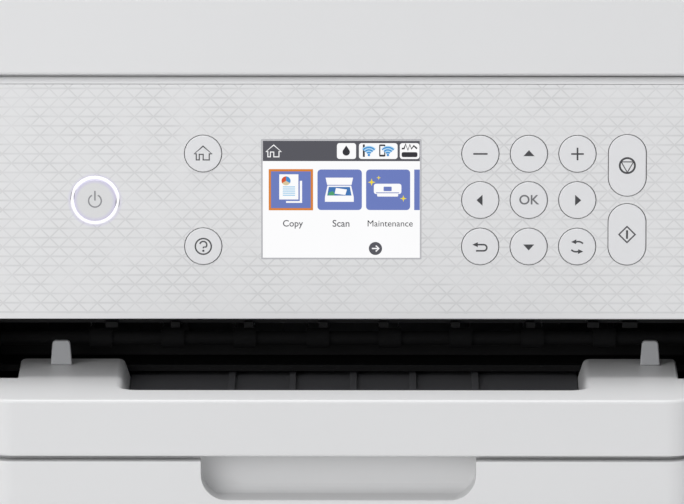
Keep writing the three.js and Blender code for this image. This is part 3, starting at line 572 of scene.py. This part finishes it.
class PRINTER_OT_panel(bpy.types.Operator):
    """Finishes the panel's film and the power light"""
    bl_idname = "printer.panel"
    bl_label = "Panel film and light"

    def execute(self, context):
        dress("panel_film", "polycarbonate_film_printed")
        # The plain border under the film, level with the film's face
        low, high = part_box("panel_film")
        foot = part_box("panel_housing")[0][2]
        border = Flat(low[1])
        border.rect(low[0] / MM, high[0] / MM, foot / MM + 0.3, low[2] / MM + 0.12, "abs_white_moulded",
                    -0.25, 0.27)
        border.done("panel_border", "control_panel")
        # A smooth light guide round the power key, with its front edges broken
        x, z, y = middle("power_light_ring")
        bm = bmesh.new()
        section = ((6.68, 0.18), (6.82, 0.0), (7.32, 0.0), (7.45, 0.15), (7.45, 3.9), (6.68, 3.9))
        verts = [bm.verts.new(((x + r) * MM, y + back * MM, z * MM)) for r, back in section]
        profile = bmesh.ops.contextual_create(bm, geom=verts)["faces"]
        bmesh.ops.delete(bm, geom=profile, context="FACES_ONLY")
        bmesh.ops.spin(bm, geom=bm.verts[:] + bm.edges[:], cent=(x * MM, y, z * MM), axis=(0, 1, 0),
                       angle=math.tau, steps=96, use_merge=True)
        ring = piece("power_light_guide", bm, ["acrylic_ring_lit"], "control_panel", 40.0)
        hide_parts("power_light_ring")
        return {"FINISHED"}


class PRINTER_OT_screen(bpy.types.Operator):
    """Draws the lit screen's picture: a bar, tiles, small pictures and plain words"""
    bl_idname = "printer.screen"
    bl_label = "Screen"

    def execute(self, context):
        dress("lcd_screen", "screen_white_lit")
        low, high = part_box("lcd_screen")
        x0, x1, z0, z1 = low[0] / MM, high[0] / MM, low[2] / MM, high[2] / MM
        s = Flat(low[1])
        white, tile, text, dark = "screen_white_lit", "screen_tile_lit", "screen_text_lit", "screen_dark_lit"
        s.rect(x0 + 0.25, x1 - 0.25, z1 - 6.6, z1 - 0.25, "screen_bar_lit")
        symbol_home(s, -35.9, z1 - 3.6, 0.4, white, 0.86, 0.04)
        boxes = ((-16.4, -10.5), (-9.6, 2.3), (3.0, 9.05))
        for a, b in boxes:
            s.rect(a, b, 109.45, 114.4, white, 0.04, corner=0.8)
        # An ink drop
        s.poly([(-13.53, 113.67)] + arc(-13.53, 111.63, 1.13, 35, -215, 20), dark, 0.08)
        # Wireless fans beside an aerial and over a tablet
        s.rect(-8.4, -7.8, 110.1, 114.0, dark, 0.08)
        s.rect(-3.37, -1.46, 110.2, 114.0, dark, 0.08, corner=0.3)
        s.rect(-3.0, -1.83, 110.8, 113.5, white, 0.12)
        for cx in (-6.54, -0.68):
            s.poly([(cx, 110.7)] + arc(cx, 110.7, 2.9, 42, 138, 10), "screen_pale_lit", 0.12)
            waves = [(arc(cx, 110.7, r, 42, 138, 10), False) for r in (0.8, 1.6, 2.4)]
            s.band(waves, 0.45, "screen_blue_lit", 0.18)
            s.disc(cx, 110.7, 0.4, "screen_blue_lit", 0.18, sides=16)
        # A wave trace over a small dark label
        s.rect(3.55, 8.45, 110.05, 111.6, dark, 0.08, corner=0.5)
        wave = ((3.6, 112.7), (4.3, 112.7), (4.8, 114.1), (5.5, 112.2), (6.1, 114.0), (6.6, 112.6),
                (7.3, 113.6), (8.3, 112.7))
        s.band([(list(wave), False)], 0.55, dark, 0.08)
        # Tiles
        top, low_z = 106.15, 93.45
        s.rect(-37.45, -23.76, 93.35, 106.25, "screen_orange_lit")
        s.rect(-36.75, -24.46, 94.05, 105.55, tile, 0.04)
        s.rect(-22.4, -8.7, low_z, top, tile, corner=1.1)
        s.rect(-7.4, 6.2, low_z, top, tile, corner=1.1)
        s.rect(7.45, x1 - 0.25, low_z, top, tile)
        # Two sheets with a pie chart: the rear one shows as two strips beside the front one
        s.rect(-27.86, -27.15, 95.7, 102.6, white, 0.08)
        s.rect(-32.1, -27.86, 95.7, 96.26, white, 0.08)
        s.rect(-34.2, -28.28, 96.76, 104.63, white, 0.08)
        for colour, start, end in (
                ("screen_blue_lit", -30, 90), ("screen_red_lit", 90, 210), ("screen_beige_lit", 210, 330)):
            s.poly([(-32.1, 102.6)] + arc(-32.1, 102.6, 1.4, start, end, 10), colour, 0.12)
        for i in range(5):
            s.rect(-33.1, -29.3, 100.55 - i * 0.65, 100.85 - i * 0.65, "screen_sky_lit", 0.12)
        # A flatbed with its lid raised over two pages on the glass
        s.poly([(-19.9, 103.6), (-11.4, 103.6), (-11.9, 101.35), (-19.4, 101.35)], white, 0.08)
        s.poly([(-19.3, 101.1), (-12.0, 101.1), (-11.2, 97.5), (-20.1, 97.5)], white, 0.08)
        s.rect(-20.1, -11.2, 96.05, 97.5, white, 0.08)
        s.poly([(-18.9, 100.7), (-12.4, 100.7), (-11.9, 98.0), (-19.4, 98.0)], "screen_glass_lit", 0.12)
        s.poly([(-18.9, 99.0), (-17.6, 99.4), (-17.0, 98.1), (-19.1, 98.1)], "screen_green_lit", 0.16)
        s.poly([(-16.7, 100.4), (-13.3, 99.9), (-13.8, 98.2), (-17.1, 98.6)], white, 0.2)
        # A small machine with sparkles
        s.rect(-5.0, 3.5, 98.5, 101.7, white, 0.08, corner=0.7)
        s.rect(-4.0, 2.5, 97.7, 99.4, white, 0.08, corner=0.3)
        s.rect(-4.3, 2.8, 98.75, 99.0, tile, 0.12)
        s.rect(-2.0, 0.5, 99.4, 100.8, tile, 0.12, corner=0.2)
        for cx, cz, r in ((-5.7, 102.2, 1.2), (-3.5, 103.6, 0.7), (4.1, 97.1, 1.05)):
            star = [(cx + (r if i % 2 == 0 else r * 0.32) * math.sin(i * math.pi / 4),
                     cz + (r if i % 2 == 0 else r * 0.32) * math.cos(i * math.pi / 4)) for i in range(8)]
            s.poly(star, "screen_yellow_lit", 0.2)
        for word, x, size, weight, finish in (
                ("Copy", -30.04, 2.85, 0.03, text), ("Scan", -15.1, 3.0, 0.03, text),
                ("Maintenance", 0.0, 2.8, 0.0, dark)):
            s.words(word, x, 89.15, size, finish, weight=weight)
        s.disc(-4.5, 81.4, 2.05, "screen_bar_lit")
        shaft = [(-5.6, 81.4), (-3.6, 81.4)]
        point = [(-4.4, 82.3), (-3.4, 81.4), (-4.4, 80.5)]
        s.band([(shaft, False), (point, False)], 0.4, white, 0.06)
        # The thin frame round the glass, from just inside its edge to the far side of the gap
        inner, outer = 0.2, 0.28
        for a, b, c, d in ((x0 - outer, x0 + inner, z0 - outer, z1 + outer),
                           (x1 - inner, x1 + outer, z0 - outer, z1 + outer),
                           (x0 + inner, x1 - inner, z0 - outer, z0 + inner),
                           (x0 + inner, x1 - inner, z1 - inner, z1 + outer)):
            s.rect(a, b, c, d, "ink_frame_grey", 0.0, 0.05)
        s.done("screen_picture", "control_panel")
        return {"FINISHED"}


def symbol_home(f, x, z, w, ink, size=1.0, lift=0.0):
    house = ((-2.1, -1.95), (-2.1, -0.05), (-2.75, -0.05), (0.0, 2.35), (2.7, -0.05), (1.9, -0.05),
             (1.9, -1.95), (0.03, -1.95), (0.03, -0.2), (-1.18, -0.2), (-1.18, -1.95))
    f.band([([(x + a * size, z + b * size) for a, b in house], True)], w, ink, lift)


def symbol_help(f, x, z, w, ink):
    hook = arc(x, z + 0.48, 1.08, 165, -38, 14) + [(x, z - 0.22), (x, z - 0.62)]
    f.band([(arc(x, z, 2.46, 0, 352.5, 47), True), (hook, False)], w * 0.9, ink)
    f.disc(x, z - 1.38, 0.34, ink, sides=16)


def symbol_minus(f, x, z, w, ink):
    f.rect(x - 2.2, x + 2.2, z - w / 2, z + w / 2, ink)


def symbol_plus(f, x, z, w, ink):
    f.rect(x - 1.95, x + 1.95, z - w / 2, z + w / 2, ink)
    f.rect(x - w / 2, x + w / 2, z - 1.95, z + 1.95, ink, 0.01)


def arrow(f, x, z, turn, ink):
    points = [(0.0, 1.17), (-1.7, -0.68), (1.7, -0.68)]
    c, s = math.cos(math.radians(turn)), math.sin(math.radians(turn))
    f.poly([(x + a * c - b * s, z + a * s + b * c) for a, b in points], ink)


def symbol_back(f, x, z, w, ink):
    bend = arc(x + 1.08, z - 0.35, 0.97, 90, -90, 10)
    run = [(x - 1.0, z + 0.62), (x + 1.08, z + 0.62)] + bend + [(x - 1.28, z - 1.32)]
    f.band([(run, False)], w, ink)
    f.poly([(x - 2.4, z + 0.62), (x - 0.75, z + 1.38), (x - 0.75, z - 0.14)], ink)


def symbol_swap(f, x, z, w, ink):
    for side, turn in ((1, 0), (-1, 180)):
        f.band([(arc(x + 0.35 * side, z - 0.35 * side, 1.95, 42 + turn, 112 + turn, 12), False)], w, ink)
        head = ((-1.85, 1.5), (-0.25, 2.3), (-0.35, 0.8))
        f.poly([(x + a * side, z + b * side) for a, b in head], ink)


def symbol_stop(f, x, z, w, ink):
    f.band([(arc(x, z, 2.34, 0, 352.5, 47), True),
            ([(x - 1.9, z + 1.15), (x + 1.9, z + 1.15), (x, z - 2.15)], True)], w * 1.2, ink)


def symbol_start(f, x, z, w, ink):
    f.band([([(x - 2.5, z), (x, z + 2.5), (x + 2.5, z), (x, z - 2.5)], True)], w * 1.2, ink)
    f.rect(x - w * 0.6, x + w * 0.6, z - 1.33, z + 1.33, ink)


def symbol_power(f, x, z, w, ink):
    f.band([(arc(x, z - 0.1, 1.96, 118, 422, 28), False)], w * 0.85, ink)
    f.rect(x - w * 0.45, x + w * 0.45, z, z + 3.0, ink)


class PRINTER_OT_keys(bpy.types.Operator):
    """Finishes the keys and prints a symbol on each"""
    bl_idname = "printer.keys"
    bl_label = "Keys and symbols"

    def execute(self, context):
        w = context.scene.printer_sizes.stroke / MM
        ink = "ink_print_grey"
        drawn = {
            "home": symbol_home, "help": symbol_help, "minus": symbol_minus, "plus": symbol_plus,
            "back": symbol_back, "swap": symbol_swap, "stop": symbol_stop, "start": symbol_start,
            "power": lambda f, x, z, w, ink: symbol_power(f, x, z, w, "ink_pale_grey"),
            "up": lambda f, x, z, w, ink: arrow(f, x, z, 0, ink),
            "left": lambda f, x, z, w, ink: arrow(f, x, z, 90, ink),
            "down": lambda f, x, z, w, ink: arrow(f, x, z, 180, ink),
            "right": lambda f, x, z, w, ink: arrow(f, x, z, -90, ink),
            "ok": lambda f, x, z, w, ink: f.words("OK", x, z, 4.15, "ink_text_grey", weight=0.05),
        }
        for key in ALL_KEYS:
            node = f"key_{key}"
            dress(node, "abs_power_key_polished" if key == "power" else "abs_key_polished")
            x, z, y = middle(node)
            f = Flat(y)
            drawn[key](f, x, z, w, ink)
            f.done(f"symbol_{key}", node)
        return {"FINISHED"}


class PRINTER_OT_trays(bpy.types.Operator):
    """Rounds and finishes the output tray, its slab and tabs, and the paper cassette"""
    bl_idname = "printer.trays"
    bl_label = "Trays"

    def execute(self, context):
        rounded_copy("output_tray", "abs_light_grey_moulded", 0.7 * MM, 3)
        rounded_copy("cassette_front", "abs_light_grey_moulded", 0.4 * MM, 3)
        rounded_copy("tray_slab", "abs_slate_moulded", 0.2 * MM)
        # The tabs' grey is painted shade: they are white like the tray, darkened for the panel's shadow
        for node in ("tray_tab_left", "tray_tab_right"):
            rounded_copy(node, "pom_tab_painted_shade_moulded", 0.5 * MM, 3)
        rounded_copy("cassette_tub", "abs_charcoal_moulded")
        for node in ("side_guide_left", "side_guide_right", "end_guide"):
            rounded_copy(node, "pom_grey_moulded", 0.25 * MM)
        return {"FINISHED"}


class PRINTER_OT_paper_path(bpy.types.Operator):
    """Finishes the frame and rollers, and adds the star wheels over the eject roller"""
    bl_idname = "printer.paper_path"
    bl_label = "Paper path"

    def execute(self, context):
        for node in ("inner_frame", "platen", "star_wheel_bar"):
            dress(node, "abs_black_moulded")
        for node in ("eject_roller", "feed_roller"):
            rounded_copy(node, "epdm_rubber_ground", 0.2 * MM)
        low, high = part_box("eject_roller")
        y = (low[1] + high[1]) / 2
        z = high[2] + 3.1 * MM
        bm = bmesh.new()
        for i in range(8):
            for side in (-3.0, 3.0):
                x = (-90.4 + 22.5 * i + side) * MM
                verts = bmesh.ops.create_cone(bm, cap_ends=True, segments=24, radius1=2.8 * MM,
                                              radius2=2.8 * MM, depth=0.4 * MM)["verts"]
                for k, v in enumerate(verts):
                    if k % 2:
                        v.co.x *= 0.78
                        v.co.y *= 0.78
                bmesh.ops.rotate(bm, matrix=Matrix.Rotation(math.radians(90), 3, "Y"), verts=verts)
                bmesh.ops.translate(bm, vec=(x, y, z), verts=verts)
        piece("star_wheels", bm, ["steel_sheet_zinc_plated"], "base")
        return {"FINISHED"}


class PRINTER_OT_print_unit(bpy.types.Operator):
    """Finishes the carriage with its inks, the rail, belt, motor and maintenance station"""
    bl_idname = "printer.print_unit"
    bl_label = "Print unit"

    def execute(self, context):
        rounded_copy("print_carriage", "abs_black_moulded", 0.3 * MM)
        for ink in INKS:
            rounded_copy(f"ink_{ink}", f"pp_ink_{ink}_moulded", 0.5 * MM)
        dress("carriage_rail", "steel_sheet_zinc_plated")
        dress("carriage_motor", "steel_can_drawn")
        dress("carriage_belt", "nitrile_foot_moulded")
        dress("maintenance_station", "pom_grey_moulded")
        return {"FINISHED"}


class PRINTER_OT_scanner(bpy.types.Operator):
    """Finishes the scanner's bezel, glass, rod and bar, and the lid's mat"""
    bl_idname = "printer.scanner"
    bl_label = "Scanner"

    def execute(self, context):
        rounded_copy("scanner_bezel", "abs_charcoal_moulded", 0.3 * MM)
        dress("scanner_glass", "float_glass_clear")
        dress("scan_rod", "steel_rod_drawn")
        dress("scan_bar", "abs_black_moulded")
        rounded_copy("lid_mat", "pet_mat_white_laminated", 0.8 * MM, 3)
        low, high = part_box("scan_bar")
        f = bmesh.new()
        verts = bmesh.ops.create_cube(f, size=1.0)["verts"]
        bmesh.ops.scale(f, vec=(2.2 * MM, 212 * MM, 1.2 * MM), verts=verts)
        place = ((low[0] + high[0]) / 2 + 0.6 * MM, (low[1] + high[1]) / 2, high[2] - 0.3 * MM)
        bmesh.ops.translate(f, vec=place, verts=verts)
        bmesh.ops.bevel(f, geom=f.edges[:], offset=0.4 * MM, segments=2, profile=0.5, affect="EDGES",
                        material=-1)
        piece("scan_lens", f, ["screen_white_lit"], "scan_bar")
        return {"FINISHED"}


class PRINTER_OT_electrics(bpy.types.Operator):
    """Finishes the board, power unit, inlet and data socket, and adds the rear screws"""
    bl_idname = "printer.electrics"
    bl_label = "Electrics and screws"

    def execute(self, context):
        dress("main_board", "fr4_board_masked")
        rounded_copy("power_unit", "abs_black_moulded", 0.6 * MM)
        dress("power_inlet", "abs_black_moulded")
        dress("data_socket", "steel_sheet_zinc_plated")
        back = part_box("lower_housing")[1][1]
        bm = bmesh.new()
        for x, z in ((-165, 20), (-165, 122), (165, 122), (172, 12)):
            head = bmesh.ops.create_cone(bm, cap_ends=True, segments=24, radius1=3.2 * MM, radius2=2.4 * MM,
                                         depth=1.2 * MM)["verts"]
            bmesh.ops.rotate(bm, matrix=Matrix.Rotation(math.radians(-90), 3, "X"), verts=head)
            bmesh.ops.translate(bm, vec=(x * MM, back + 0.62 * MM, z * MM), verts=head)
            top = [f for f in {f for v in head for f in v.link_faces} if f.normal.y > 0.9 or len(f.verts) > 4]
            outer = max(top, key=lambda f: f.calc_center_median().y)
            bmesh.ops.inset_individual(bm, faces=[outer], thickness=1.2 * MM, depth=-0.5 * MM)
        piece("rear_screws", bm, ["steel_rod_drawn"], "base")
        return {"FINISHED"}


class PRINTER_PT_sidebar(bpy.types.Panel):
    bl_label = "Inkjet printer"
    bl_idname = "PRINTER_PT_sidebar"
    bl_space_type = "VIEW_3D"
    bl_region_type = "UI"
    bl_category = "Printer"

    def draw(self, context):
        for group in (context.scene.printer_sizes, context.scene.printer_colours):
            for key in group.__annotations__:
                self.layout.prop(group, key)
        for operator in OPERATORS:
            self.layout.operator(operator.bl_idname)


OPERATORS = (PRINTER_OT_stage, PRINTER_OT_casing, PRINTER_OT_panel, PRINTER_OT_screen, PRINTER_OT_keys,
             PRINTER_OT_trays, PRINTER_OT_paper_path, PRINTER_OT_print_unit, PRINTER_OT_scanner,
             PRINTER_OT_electrics)
CLASSES = (PrinterColours, PrinterSizes, *OPERATORS, PRINTER_PT_sidebar)


def register():
    for c in CLASSES:
        bpy.utils.register_class(c)
    bpy.types.Scene.printer_colours = bpy.props.PointerProperty(type=PrinterColours)
    bpy.types.Scene.printer_sizes = bpy.props.PointerProperty(type=PrinterSizes)


def unregister():
    del bpy.types.Scene.printer_sizes
    del bpy.types.Scene.printer_colours
    for c in reversed(CLASSES):
        bpy.utils.unregister_class(c)


def main():
    register()
    for operator in OPERATORS:
        group, name = operator.bl_idname.split(".")
        getattr(getattr(bpy.ops, group), name)()


if __name__ == "__main__":
    main()
